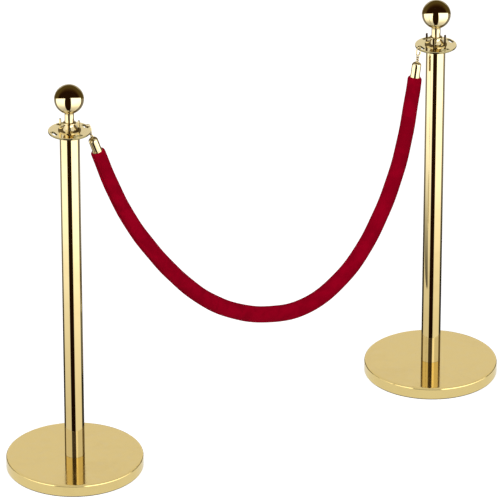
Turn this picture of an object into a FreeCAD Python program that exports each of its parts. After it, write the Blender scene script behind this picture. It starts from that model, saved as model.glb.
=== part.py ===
"""Rope stanchion set: two ball-top posts with four-way hook plates and one velvet rope.

Frame: +Z up, origin on the floor midway between the posts, the posts on the X axis. Millimetres.
"""
import FreeCAD, Part
import math
import os

doc = FreeCAD.newDocument("rope_stanchion_set")

# ---------------------------------------------------------------------------------------------------
# Driving dimensions
# ---------------------------------------------------------------------------------------------------
DIMENSIONS = [
    ("post_spacing", 976, "between the two posts' axes"),
    ("overall_height", 965, "floor to the top of the ball"),
    ("base_diameter", 320, "outside of the base cover"),
    ("base_height", 30, "floor to the top of the base cover"),
    ("cover_wall", 1.5, "sheet of the base cover"),
    ("cover_edge", 5, "outside radius of the cover's rolled edge"),
    ("cover_lift", 2.5, "floor to the lower edge of the cover"),
    ("ring_thickness", 5, "rubber ring under the base"),
    ("ring_width", 11, "rubber ring, radially"),
    ("fit_gap", 0.3, "clearance between round parts that slip together"),
    ("thread_gap", 0.1, "clearance of a thread, radially"),
    ("bolt_diameter", 12, "base bolt and finial stud"),
    ("bolt_clearance", 0.6, "round the bolt or the stud in its clearance hole, radially"),
    ("bolt_head_flats", 19, "across the flats of the base bolt"),
    ("bolt_head_height", 7.5, "base bolt"),
    ("washer_diameter", 30, "base washer"),
    ("washer_thickness", 2.5, "base washer"),
    ("counterbore_gap", 3, "round the washer in the cast weight"),
    ("head_recess", 2, "bolt head above the underside of the cast weight"),
    ("tube_diameter", 46, "outside of the post's tube"),
    ("tube_wall", 1.2, "tube"),
    ("plug_length", 34, "threaded plugs in both ends of the tube"),
    ("plate_diameter", 98, "hook plate"),
    ("plate_thickness", 5, "hook plate"),
    ("plate_round", 1.8, "rounding of the hook plate's rim"),
    ("slot_width", 9, "hook slot, radially"),
    ("slot_length", 24, "hook slot, along the rim"),
    ("rim_width", 4.5, "bar left between a slot and the rim"),
    ("bell_diameter", 52, "foot of the finial bell"),
    ("bell_foot", 2, "thickness of the bell's foot at its edge"),
    ("bell_flare_height", 16, "top of the flare above the plate"),
    ("bell_flare_radius", 19, "curve of the flare"),
    ("bead_depth", 3.5, "bead outside the neck, radially"),
    ("bead_height", 4, "bead at the top of the flare"),
    ("neck_diameter", 23, "neck under the ball"),
    ("finial_height", 44, "hook plate to the seat of the ball"),
    ("finger_inset", 4, "middle of an upright finger inside the edge of the bell's foot"),
    ("finger_width", 5, "upright finger, along the rim"),
    ("finger_thickness", 4, "upright finger, radially"),
    ("finger_height", 25, "upright finger above the plate"),
    ("ball_diameter", 68, "ball"),
    ("ball_wall", 1.8, "ball"),
    ("boss_wall", 4, "boss in the ball, round the stud"),
    ("boss_end", 4, "boss above the end of the stud"),
    ("stud_in_ball", 18, "stud above the ball's seat"),
    ("plug_end", 8, "thread left in a plug past its bolt or stud"),
    ("left_tilt", 20, "left hook and cap from the plumb line, degrees"),
    ("right_tilt", 8, "right hook and cap from the plumb line, degrees"),
    ("hook_wire", 3, "wire of the snap hook"),
    ("hook_gap", 0.24, "between the hook and the corners of the rim bar"),
    ("nose_reach", 1, "nose of the hook below the plate"),
    ("hook_mouth", 7, "opening between the nose and the gate's pin"),
    ("eye_wire", 2.2, "bar of the hook's eye and of the cap's eye"),
    ("eye_room", 1.2, "both eyes' holes, wider than the link's wire"),
    ("link_wire", 2, "wire of the link ring"),
    ("link_room", 0.7, "link ring's hole, wider than the two eyes' bars"),
    ("link_gap", 0.3, "between the link ring and the hook's eye"),
    ("cheek_margin", 0.35, "cheeks outside the gate's round end"),
    ("cheek_thickness", 0.75, "each cheek that holds the gate's pin"),
    ("gate_width", 2.2, "gate, along its pin"),
    ("gate_thickness", 1.6, "gate"),
    ("gate_gap", 0.25, "between the gate and the nose or a cheek"),
    ("knuckle_wall", 0.5, "round end of the gate, round the spring's pocket"),
    ("gate_pin_diameter", 1.2, "pin of the gate"),
    ("pin_proud", 0.3, "pins outside the piece that holds them"),
    ("spring_wire", 0.3, "gate spring"),
    ("spring_gap", 0.2, "between the gate spring and its pin"),
    ("spring_pitch", 0.4, "between turns of the gate spring"),
    ("spring_play", 0.15, "between the gate spring and its pocket"),
    ("cap_diameter", 22, "rope cap"),
    ("cap_wall", 1.3, "rope cap"),
    ("cap_length", 36, "rope cap"),
    ("cap_dome", 7, "height of the cap's domed end"),
    ("cap_lip", 0.8, "lip at the cap's mouth, radially"),
    ("cap_lip_length", 2.5, "lip at the cap's mouth"),
    ("shank_diameter", 3.2, "shank of the cap's eye"),
    ("shank_length", 12, "shank of the cap's eye below its collar"),
    ("collar_width", 1.6, "collar of the cap's eye, round its shank"),
    ("collar_height", 1, "collar of the cap's eye"),
    ("nut_wall", 1.4, "eye nut round the shank, at its flats"),
    ("nut_height", 3, "eye nut"),
    ("cap_pin_diameter", 2, "cross pin of the cap"),
    ("cap_pin_rise", 12, "cross pin above the cap's mouth"),
    ("rope_diameter", 37, "velvet rope"),
    ("sleeve_wall", 1.3, "velvet sleeve"),
    ("core_gap", 0.1, "between the core and the sleeve"),
    ("rope_lead", 66, "rope in line with each cap, before its first bend"),
    ("neck_gap", 0.5, "between the core's neck and the cap"),
    ("neck_room", 3, "between the core's neck and the eye's shank"),
]


class Size:
    """A value with the sheet expression that gives it, so that a sketch starts near its answer."""

    def __init__(self, value, text=None):
        self.value = float(value)
        self.text = repr(self.value) if text is None else text

    def _join(self, other, sign, value, swap=False):
        first, second = (other, self) if swap else (self, other)
        return Size(value, "(%s %s %s)" % (first.text, sign, second.text))

    def __add__(self, other):
        other = as_size(other)
        return self._join(other, "+", self.value + other.value)

    def __sub__(self, other):
        other = as_size(other)
        return self._join(other, "-", self.value - other.value)

    def __rsub__(self, other):
        other = as_size(other)
        return self._join(other, "-", other.value - self.value, swap=True)

    def __mul__(self, other):
        other = as_size(other)
        return self._join(other, "*", self.value * other.value)

    def __truediv__(self, other):
        other = as_size(other)
        return self._join(other, "/", self.value / other.value)

    def __neg__(self):
        return Size(-self.value, "(-1 * %s)" % self.text)

    __radd__ = __add__
    __rmul__ = __mul__


def as_size(number):
    return number if isinstance(number, Size) else Size(number)


def root(size):
    return Size(math.sqrt(size.value), "sqrt(%s)" % size.text)


sheet = doc.addObject("Spreadsheet::Sheet", "sizes")
D = {}
for row, (alias, number, note) in enumerate(DIMENSIONS, start=1):
    sheet.set("A%d" % row, note)
    sheet.set("B%d" % row, str(number))
    sheet.setAlias("B%d" % row, alias)
    D[alias] = Size(number, "sizes.%s" % alias)
doc.recompute()

# Levels and radii that several pieces share
ZERO = Size(0)
base_radius = D["base_diameter"] / 2
weight_top = D["base_height"] - D["cover_wall"]
weight_radius = base_radius - D["cover_wall"] - D["fit_gap"]
counterbore_depth = D["bolt_head_height"] + D["washer_thickness"] + D["head_recess"]
counterbore_top = D["ring_thickness"] + counterbore_depth
counterbore_radius = D["washer_diameter"] / 2 + D["counterbore_gap"]
bolt_radius = D["bolt_diameter"] / 2
bolt_hole_radius = bolt_radius + D["bolt_clearance"]
thread_radius = bolt_radius + D["thread_gap"]
tube_radius = D["tube_diameter"] / 2
plug_radius = tube_radius - D["tube_wall"] - D["thread_gap"]
ball_radius = D["ball_diameter"] / 2
neck_radius = D["neck_diameter"] / 2
ball_middle = D["overall_height"] - ball_radius
ball_seat = ball_middle - root(ball_radius * ball_radius - neck_radius * neck_radius)
plate_top = ball_seat - D["finial_height"]
plate_bottom = plate_top - D["plate_thickness"]
plate_radius = D["plate_diameter"] / 2
slot_middle = plate_radius - D["rim_width"] - D["slot_width"] / 2
rim_bar = plate_radius - D["rim_width"] / 2
plate_middle = plate_top - D["plate_thickness"] / 2
boss_height = D["stud_in_ball"] + D["boss_end"]
stud_in_plug = D["plug_length"] - D["plug_end"]

# The snap hook goes round the rim bar's corners, and the gate's pieces are nested round its pin
half_bar = D["rim_width"] / 2
half_plate = D["plate_thickness"] / 2
hook_bend = root(half_bar * half_bar + half_plate * half_plate) + D["hook_gap"] + D["hook_wire"] / 2
nose_drop = half_plate + D["nose_reach"]
hook_drop = nose_drop + D["hook_mouth"]
eye_bend = D["eye_wire"] / 2 + D["link_wire"] / 2 + D["eye_room"]
link_bend = D["eye_wire"] + D["link_wire"] / 2 + D["link_room"]
gate_pin_radius = D["gate_pin_diameter"] / 2
spring_bend = gate_pin_radius + D["spring_gap"] + D["spring_wire"] / 2
spring_pocket = spring_bend + D["spring_wire"] / 2 + D["spring_play"]
gate_knuckle = spring_pocket + D["knuckle_wall"]
gate_room = D["gate_width"] + D["gate_gap"] * 2
cheek_radius = gate_knuckle + D["cheek_margin"]
cheek_span = gate_room + D["cheek_thickness"] * 2

# The cap, and what it holds
cap_inner = D["cap_diameter"] / 2 - D["cap_wall"]
shank_radius = D["shank_diameter"] / 2
collar_radius = shank_radius + D["collar_width"]
core_neck_radius = cap_inner - D["neck_gap"]
core_neck_length = D["cap_length"] - D["shank_length"] - D["neck_room"]

# Heights along a hanging chain, from the middle of the rim bar down its own line of pull
hook_eye = -1 * (hook_drop + hook_bend + eye_bend)
hook_eye_bar = hook_eye - eye_bend
bar_to_wire = (D["eye_wire"] + D["link_wire"]) / 2
link_middle = hook_eye_bar + bar_to_wire + D["link_gap"] - link_bend
link_bottom = link_middle - link_bend
cap_eye = link_bottom + bar_to_wire + D["thread_gap"] - eye_bend
cap_top = cap_eye - eye_bend - D["collar_height"]
cap_mouth = cap_top - D["cap_length"]
gate_hinge_x = -1 * hook_bend
gate_hinge_z = -1 * hook_drop

SIDES = [("left", Size(-1), Size(0), D["left_tilt"]), ("right", Size(1), Size(180), D["right_tilt"])]


# ---------------------------------------------------------------------------------------------------
# Helpers
# ---------------------------------------------------------------------------------------------------
def bind(obj, prop, size):
    """Bind a property to the sheet."""
    obj.setExpression(prop, as_size(size).text)
    return obj


def at(x=ZERO, y=ZERO, z=ZERO, yaw=ZERO, pitch=ZERO, roll=ZERO):
    """Expression of a placement: a point and its turns about Z, Y and X in degrees."""
    x, y, z, yaw, pitch, roll = [as_size(each).text for each in (x, y, z, yaw, pitch, roll)]
    return "placement(vector(%s; %s; %s); rotation(%s; %s; %s))" % (x, y, z, yaw, pitch, roll)


def place(obj, text):
    obj.setExpression("Placement", text)
    return obj


def cylinder(name, radius, height, text=None):
    obj = doc.addObject("Part::Cylinder", name)
    bind(obj, "Radius", radius)
    bind(obj, "Height", height)
    return place(obj, text) if text else obj


def box(name, length, width, height, text):
    obj = doc.addObject("Part::Box", name)
    bind(obj, "Length", length)
    bind(obj, "Width", width)
    bind(obj, "Height", height)
    return place(obj, text)


def ring(name, bend, wire, text, sweep=360):
    """A torus, or part of one, from its bend radius and its wire's diameter."""
    obj = doc.addObject("Part::Torus", name)
    bind(obj, "Radius1", bend)
    bind(obj, "Radius2", as_size(wire) / 2)
    obj.Angle3 = sweep
    return place(obj, text)


def hexagon(name, flats, height, text=None):
    obj = doc.addObject("Part::Prism", name)
    obj.Polygon = 6
    bind(obj, "Circumradius", as_size(flats) / math.sqrt(3))
    bind(obj, "Height", height)
    return place(obj, text) if text else obj


def cut(name, base, tool):
    obj = doc.addObject("Part::Cut", name)
    obj.Base = base
    obj.Tool = tool
    return obj


def fuse(name, shapes):
    obj = doc.addObject("Part::MultiFuse", name)
    obj.Shapes = shapes
    obj.Refine = True
    return obj


def group(name, shapes):
    """Separate solids that share one node."""
    obj = doc.addObject("Part::Compound", name)
    obj.Links = shapes
    return obj


def sketch_on(body, name, role):
    """A sketch on one of the body's own origin planes."""
    sketch = body.newObject("Sketcher::SketchObject", name)
    plane = [each for each in body.Origin.OriginFeatures if each.Role == role][0]
    sketch.AttachmentSupport = [(plane, "")]
    sketch.MapMode = "FlatFace"
    return sketch


def fix(sketch, kind, first, second, size):
    """Add one constraint whose value comes from the sheet."""
    import Sketcher

    index = sketch.addConstraint(Sketcher.Constraint(kind, *first, *second, size.value))
    sketch.setExpression("Constraints[%d]" % index, size.text)


def fix_point(sketch, geometry, corner, x, y):
    """Hold one point of the sketch at two sizes, or on an axis where a size is nought."""
    import Sketcher

    for kind, size, axis in (("DistanceX", x, -2), ("DistanceY", y, -1)):
        if size.value == 0:
            sketch.addConstraint(Sketcher.Constraint("PointOnObject", geometry, corner, axis))
        else:
            fix(sketch, kind, (-1, 1), (geometry, corner), size)


def outline(sketch, corners):
    """A closed outline. A corner is (x, y), or (x, y, radius, side) where an arc starts.

    Side +1 puts the arc's centre to the left of the way to the next corner, and -1 to its right.
    """
    import Sketcher

    ends = []
    for index, corner in enumerate(corners):
        after = corners[(index + 1) % len(corners)]
        start = FreeCAD.Vector(corner[0].value, corner[1].value, 0)
        end = FreeCAD.Vector(after[0].value, after[1].value, 0)
        if len(corner) == 2:
            sketch.addGeometry(Part.LineSegment(start, end), False)
            ends.append((1, 2))
            continue
        radius, side = corner[2], corner[3]
        chord = end - start
        rise = math.sqrt(radius.value**2 - (chord.Length / 2) ** 2)
        left = FreeCAD.Vector(-chord.y, chord.x, 0).normalize()
        centre = (start + end) / 2 + left * (rise * side)
        first, last = (start, end) if side > 0 else (end, start)
        turns = [math.atan2(each.y - centre.y, each.x - centre.x) for each in (first, last)]
        circle = Part.Circle(centre, FreeCAD.Vector(0, 0, 1), radius.value)
        sketch.addGeometry(Part.ArcOfCircle(circle, turns[0], turns[1]), False)
        ends.append((1, 2) if side > 0 else (2, 1))
    for index, corner in enumerate(corners):
        following = (index + 1) % len(corners)
        join = Sketcher.Constraint("Coincident", index, ends[index][1], following, ends[following][0])
        sketch.addConstraint(join)
    for index, corner in enumerate(corners):
        fix_point(sketch, index, ends[index][0], corner[0], corner[1])
        if len(corner) > 2:
            number = sketch.addConstraint(Sketcher.Constraint("Radius", index, corner[2].value))
            sketch.setExpression("Constraints[%d]" % number, corner[2].text)


def circles(sketch, radii):
    """Circles about the sketch's origin."""
    import Sketcher

    for index, radius in enumerate(radii):
        middle = FreeCAD.Vector(0, 0, 0)
        sketch.addGeometry(Part.Circle(middle, FreeCAD.Vector(0, 0, 1), radius.value), False)
        sketch.addConstraint(Sketcher.Constraint("Coincident", index, 3, -1, 1))
        number = sketch.addConstraint(Sketcher.Constraint("Radius", index, radius.value))
        sketch.setExpression("Constraints[%d]" % number, radius.text)


def turned(name, corners):
    """A body turned about Z from its outline of (radius, height) corners."""
    body = doc.addObject("PartDesign::Body", name)
    sketch = sketch_on(body, name + "_outline", "XZ_Plane")
    outline(sketch, corners)
    turn = body.newObject("PartDesign::Revolution", name + "_turn")
    turn.Profile = sketch
    turn.ReferenceAxis = (sketch, ["V_Axis"])
    turn.Angle = 360
    body.Tip = turn
    return body


def padded(name, radii, height):
    """A body made of a round or ring-shaped pad."""
    body = doc.addObject("PartDesign::Body", name)
    sketch = sketch_on(body, name + "_outline", "XY_Plane")
    circles(sketch, radii)
    pad = body.newObject("PartDesign::Pad", name + "_pad")
    pad.Profile = sketch
    bind(pad, "Length", height)
    body.Tip = pad
    return body


def polar(body, name, feature, count):
    """Repeat a feature round Z."""
    pattern = body.newObject("PartDesign::PolarPattern", name)
    pattern.Originals = [feature]
    axis = [each for each in body.Origin.OriginFeatures if each.Role == "Z_Axis"][0]
    pattern.Axis = (axis, [""])
    pattern.Angle = 360
    pattern.Occurrences = count
    body.Tip = pattern
    return pattern


# ---------------------------------------------------------------------------------------------------
# The post
# ---------------------------------------------------------------------------------------------------
def base_weight(name):
    return turned(
        name,
        [
            (counterbore_radius, D["ring_thickness"]),
            (weight_radius, D["ring_thickness"]),
            (weight_radius, weight_top - D["cover_edge"]),
            (weight_radius - D["cover_edge"], weight_top),
            (bolt_hole_radius, weight_top),
            (bolt_hole_radius, counterbore_top),
            (counterbore_radius, counterbore_top),
        ],
    )


def base_cover(name):
    inner_edge = D["cover_edge"] - D["cover_wall"]
    inner_radius = base_radius - D["cover_wall"]
    hole = tube_radius + D["fit_gap"]
    return turned(
        name,
        [
            (hole, D["base_height"]),
            (hole, weight_top),
            (inner_radius - inner_edge, weight_top, inner_edge, -1),
            (inner_radius, weight_top - inner_edge),
            (inner_radius, D["cover_lift"]),
            (base_radius, D["cover_lift"]),
            (base_radius, D["base_height"] - D["cover_edge"], D["cover_edge"], 1),
            (base_radius - D["cover_edge"], D["base_height"]),
        ],
    )


def base_ring(name):
    return padded(name, [weight_radius, weight_radius - D["ring_width"]], D["ring_thickness"])


def base_washer(name):
    disc = cylinder(name + "_disc", D["washer_diameter"] / 2, D["washer_thickness"])
    hole = cylinder(name + "_hole", bolt_hole_radius, D["washer_thickness"])
    return cut(name, disc, hole)


def base_bolt(name):
    head = hexagon(name + "_head", D["bolt_head_flats"], D["bolt_head_height"])
    reach = weight_top - counterbore_top + D["washer_thickness"] + stud_in_plug
    shank = cylinder(name + "_shank", bolt_radius, reach, at(z=D["bolt_head_height"]))
    return fuse(name, [head, shank])


def tube_plug(name):
    disc = cylinder(name + "_disc", plug_radius, D["plug_length"])
    bore = cylinder(name + "_bore", thread_radius, D["plug_length"])
    return cut(name, disc, bore)


def post_tube(name):
    return padded(name, [tube_radius, tube_radius - D["tube_wall"]], plate_bottom - weight_top)


def hook_plate(name):
    """The round plate, with a slot on each side for a hook and a rounded rim."""
    body = padded(name, [plate_radius, bolt_hole_radius], D["plate_thickness"])
    half = D["slot_length"] / 2 - D["slot_width"] / 2
    inner = slot_middle - D["slot_width"] / 2
    outer = slot_middle + D["slot_width"] / 2
    bend = D["slot_width"] / 2
    sketch = sketch_on(body, name + "_slot_outline", "XY_Plane")
    outline(
        sketch,
        [
            (outer, -half),
            (outer, half, bend * 1.0001, 1),
            (inner, half),
            (inner, -half, bend * 1.0001, 1),
        ],
    )
    slot = body.newObject("PartDesign::Pocket", name + "_slot")
    slot.Profile = sketch
    slot.Type = "ThroughAll"
    slot.Reversed = True
    polar(body, name + "_slots", slot, 4)
    doc.recompute()
    pierced = body.Tip
    rim = []
    for index, edge in enumerate(pierced.Shape.Edges, start=1):
        whole_circle = len(edge.Vertexes) == 1 and hasattr(edge.Curve, "Radius")
        if whole_circle and abs(edge.Curve.Radius - plate_radius.value) < 0.01:
            rim.append("Edge%d" % index)
    rounding = body.newObject("PartDesign::Fillet", name + "_rounding")
    rounding.Base = (pierced, rim)
    bind(rounding, "Radius", D["plate_round"])
    body.Tip = rounding
    return body


def finial_bell(name):
    """The flared foot, its bead, the neck, and the four upright fingers round them."""
    foot_radius = D["bell_diameter"] / 2
    bead_radius = neck_radius + D["bead_depth"]
    bead_top = D["bell_flare_height"] + D["bead_height"]
    body = turned(
        name,
        [
            (bolt_hole_radius, ZERO),
            (foot_radius, ZERO),
            (foot_radius, D["bell_foot"], D["bell_flare_radius"], -1),
            (neck_radius, D["bell_flare_height"]),
            (bead_radius - D["bead_height"] / 2, D["bell_flare_height"], D["bead_height"] / 2 * 1.001, 1),
            (bead_radius - D["bead_height"] / 2, bead_top),
            (neck_radius - 0.8, bead_top + 1.2),
            (neck_radius - 0.8, D["finial_height"] - 4),
            (neck_radius, D["finial_height"]),
            (bolt_hole_radius, D["finial_height"]),
        ],
    )
    near = foot_radius - D["finger_inset"] - D["finger_thickness"] / 2
    far = near + D["finger_thickness"]
    half = D["finger_width"] / 2
    sketch = sketch_on(body, name + "_finger_outline", "XY_Plane")
    outline(sketch, [(near, -half), (far, -half), (far, half), (near, half)])
    finger = body.newObject("PartDesign::Pad", name + "_finger")
    finger.Profile = sketch
    bind(finger, "Length", D["finger_height"])
    polar(body, name + "_fingers", finger, 4)
    return body


def ball(name):
    """A hollow ball on a flat seat, with a threaded boss inside it. Its own origin is its middle."""
    seat = ball_seat - ball_middle
    boss = bolt_radius + D["boss_wall"]
    inner = ball_radius - D["ball_wall"]
    return turned(
        name,
        [
            (thread_radius, seat),
            (neck_radius, seat, ball_radius, 1),
            (ZERO, ball_radius),
            (ZERO, inner, inner, -1),
            (boss, -root(inner * inner - boss * boss)),
            (boss, seat + boss_height),
            (thread_radius, seat + boss_height),
        ],
    )


def finial_stud(name):
    reach = stud_in_plug + D["plate_thickness"] + D["finial_height"] + D["stud_in_ball"]
    return cylinder(name, bolt_radius, reach)


# ---------------------------------------------------------------------------------------------------
# The rope's end fittings, each about the middle of the rim bar with the line of pull along -Z
# ---------------------------------------------------------------------------------------------------
def snap_hook(name):
    wire = D["hook_wire"]
    hinge = at(gate_hinge_x, cheek_span / 2, gate_hinge_z, roll=90)
    pieces = [
        ring(name + "_top", hook_bend, wire, at(roll=90), 180),
        cylinder(name + "_nose", wire / 2, nose_drop, at(x=-hook_bend, z=-nose_drop)),
        cylinder(name + "_spine", wire / 2, hook_drop, at(x=hook_bend, z=-hook_drop)),
        ring(name + "_bottom", hook_bend, wire, at(z=-hook_drop, roll=-90), 180),
        ring(name + "_eye", eye_bend, D["eye_wire"], at(z=hook_eye, roll=90)),
        cylinder(name + "_cheeks", cheek_radius, cheek_span, hinge),
    ]
    whole = fuse(name + "_whole", pieces)
    room = cylinder(
        name + "_room",
        cheek_radius + D["fit_gap"],
        gate_room,
        at(gate_hinge_x, gate_room / 2, gate_hinge_z, roll=90),
    )
    hole = cylinder(name + "_hole", gate_pin_radius, cheek_span, hinge)
    return cut(name, cut(name + "_open", whole, room), hole)


def hook_gate(name):
    width = D["gate_width"]
    reach = hook_drop - nose_drop - D["gate_gap"]
    hinge = at(gate_hinge_x, width / 2, gate_hinge_z, roll=90)
    knuckle = cylinder(name + "_knuckle", gate_knuckle, width, hinge)
    corner = at(gate_hinge_x - D["gate_thickness"] / 2, -width / 2, gate_hinge_z)
    bar = box(name + "_bar", D["gate_thickness"], width, reach, corner)
    whole = fuse(name + "_whole", [knuckle, bar])
    hole = cylinder(name + "_hole", gate_pin_radius + D["thread_gap"] / 2, width, hinge)
    room = D["spring_pitch"] * 2 + D["spring_wire"] + D["thread_gap"] * 2
    pocket = cylinder(
        name + "_pocket", spring_pocket, room, at(gate_hinge_x, room / 2, gate_hinge_z, roll=90)
    )
    return cut(name, cut(name + "_bored", whole, hole), pocket)


def gate_pin(name):
    length = cheek_span + D["pin_proud"] * 2
    return cylinder(name, gate_pin_radius, length, at(gate_hinge_x, length / 2, gate_hinge_z, roll=90))


def gate_spring(name):
    turns = [
        ring(
            "%s_turn_%d" % (name, index),
            spring_bend,
            D["spring_wire"],
            at(gate_hinge_x, D["spring_pitch"] * (index - 1), gate_hinge_z, roll=90),
        )
        for index in range(3)
    ]
    return group(name, turns)


def link_ring(name):
    return ring(name, link_bend, D["link_wire"], at(z=link_middle, pitch=90))


def cap_eye_bolt(name):
    eye = ring(name + "_eye", eye_bend, D["eye_wire"], at(z=cap_eye, roll=90))
    lift = D["collar_height"] + D["eye_wire"] / 2
    collar = cylinder(name + "_collar", collar_radius, lift, at(z=cap_top))
    shank = cylinder(name + "_shank", shank_radius, D["shank_length"], at(z=cap_top - D["shank_length"]))
    return fuse(name, [eye, collar, shank])


def rope_cap(name):
    """A drawn cup with a domed end and a lip round its mouth."""
    outer = D["cap_diameter"] / 2
    hole = shank_radius + D["thread_gap"]
    crown = collar_radius + 1
    lip = outer + D["cap_lip"]
    cup = turned(
        name + "_cup",
        [
            (hole, cap_top),
            (hole, cap_top - D["cap_wall"]),
            (crown, cap_top - D["cap_wall"], D["cap_dome"], -1),
            (cap_inner, cap_top - D["cap_dome"]),
            (cap_inner, cap_mouth),
            (lip, cap_mouth),
            (lip, cap_mouth + D["cap_lip_length"]),
            (outer, cap_mouth + D["cap_lip_length"]),
            (outer, cap_top - D["cap_dome"], D["cap_dome"], 1),
            (crown, cap_top),
        ],
    )
    return cut(name, cup, cap_pin(name + "_pin_hole"))


def eye_nut(name):
    low = cap_top - D["cap_wall"] - D["nut_height"]
    flats = D["shank_diameter"] + D["nut_wall"] * 2
    whole = hexagon(name + "_hexagon", flats, D["nut_height"], at(z=low))
    bore = cylinder(name + "_bore", shank_radius + D["thread_gap"], D["nut_height"], at(z=low))
    return cut(name, whole, bore)


def cap_pin(name):
    length = D["cap_diameter"] + D["pin_proud"] * 2
    height = cap_mouth + D["cap_pin_rise"]
    return cylinder(name, D["cap_pin_diameter"] / 2, length, at(y=length / 2, z=height, roll=90))


# ---------------------------------------------------------------------------------------------------
# The velvet rope
# ---------------------------------------------------------------------------------------------------
# Hand-chosen points of the rope's middle, (x, z), between the two ends' straight leads
ROPE_POINTS = [
    (-359, 636),
    (-307, 543),
    (-243, 454),
    (-166, 366),
    (-77, 299),
    (18, 262),
    (112, 250),
    (195, 277),
    (263, 330),
    (314, 396),
    (353, 470),
    (388, 556),
    (409, 644),
]
ARC_SHARE = 0.45


def cap_point(side, tilt, along):
    """A point of a hanging chain, at a height along its own line of pull."""
    sign = side.value
    lean = math.radians(tilt.value)
    x = sign * (D["post_spacing"].value / 2 - rim_bar.value + along.value * math.sin(lean))
    return FreeCAD.Vector(x, 0, plate_middle.value + along.value * math.cos(lean))


def rope_path(corners):
    """Straight runs joined by tangent arcs as large as the runs allow."""
    edges = []
    radii = []
    start = corners[0]
    for before, corner, after in zip(corners, corners[1:], corners[2:]):
        into = (corner - before).normalize()
        out = (after - corner).normalize()
        turn = into.getAngle(out)
        trim = ARC_SHARE * min((corner - before).Length, (after - corner).Length)
        radius = trim / math.tan(turn / 2)
        first = corner - into * trim
        last = corner + out * trim
        inward = (out - into).normalize()
        middle = corner + inward * (radius / math.cos(turn / 2) - radius)
        edges.append(Part.LineSegment(start, first).toShape())
        edges.append(Part.Arc(first, middle, last).toShape())
        radii.append(radius)
        start = last
    edges.append(Part.LineSegment(start, corners[-1]).toShape())
    return Part.Wire(edges), radii


def swept(path, radius):
    """A solid of round section along the path."""
    start = path.Edges[0]
    direction = start.tangentAt(start.FirstParameter)
    section = Part.Wire([Part.Circle(start.valueAt(start.FirstParameter), direction, radius).toShape()])
    solid = path.makePipeShell([section], True, True)
    area = math.pi * radius**2
    print("swept radius %.1f: volume %.4f of section x length" % (radius, solid.Volume / area / path.Length))
    return solid


def neck(corner, towards, length, radius):
    """A plain round neck from one point towards another."""
    return Part.makeCylinder(radius, length, corner, towards - corner)


def velvet_rope():
    """The sleeve and the core, along the same path."""
    mouths = [cap_point(side, tilt, cap_mouth) for _, side, _, tilt in SIDES]
    tops = [cap_point(side, tilt, cap_top) for _, side, _, tilt in SIDES]
    leads = [cap_point(side, tilt, cap_mouth - D["rope_lead"]) for _, side, _, tilt in SIDES]
    corners = [mouths[0], leads[0]]
    corners += [FreeCAD.Vector(x, 0, z) for x, z in ROPE_POINTS]
    corners += [leads[1], mouths[1]]
    runs = [(after - before).Length for before, after in zip(corners, corners[1:])]
    print("rope runs:", [round(run) for run in runs])
    path, radii = rope_path(corners)
    print("rope arcs' radii:", [round(radius) for radius in radii])
    print("velvet length %.0f mm" % path.Length)

    wall = D["sleeve_wall"].value
    inset = [corners[0] + (corners[1] - corners[0]).normalize() * wall]
    inset += corners[1:-1]
    inset += [corners[-1] + (corners[-2] - corners[-1]).normalize() * wall]
    inner_path, _ = rope_path(inset)
    outer_radius = D["rope_diameter"].value / 2
    core_radius = outer_radius - wall - D["core_gap"].value
    stub_radius = core_neck_radius.value
    reach = wall + 1

    outside = swept(path, outer_radius)
    hollow = swept(inner_path, outer_radius - wall)
    core_shape = swept(inner_path, core_radius)
    for mouth, top, inner_end in zip(mouths, tops, (inset[0], inset[-1])):
        away = (top - mouth).normalize()
        hole = neck(mouth - away * reach, top, reach * 2, stub_radius + D["core_gap"].value)
        stub = neck(mouth - away * reach * 2, top, reach * 2 + core_neck_length.value, stub_radius)
        hollow = hollow.fuse(hole)
        core_shape = core_shape.fuse(stub)
    for mouth, top in zip(mouths, tops):
        away = (top - mouth).normalize()
        pin_middle = mouth + away * D["cap_pin_rise"].value
        across = FreeCAD.Vector(0, 1, 0)
        half = D["cap_diameter"].value
        pin_radius = D["cap_pin_diameter"].value / 2
        drill = Part.makeCylinder(pin_radius, half * 2, pin_middle - across * half, across)
        core_shape = core_shape.cut(drill)

    sleeve = doc.addObject("Part::Feature", "velvet_sleeve")
    sleeve.Shape = outside.cut(hollow)
    core = doc.addObject("Part::Feature", "rope_core")
    core.Shape = core_shape
    return [sleeve, core]


# ---------------------------------------------------------------------------------------------------
# Build both sides
# ---------------------------------------------------------------------------------------------------
nodes = []


def keep(obj, text=None):
    """Keep an object as a node of the set, at its place."""
    obj.Label = obj.Name
    if text:
        place(obj, text)
    nodes.append(obj)
    return obj


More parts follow.
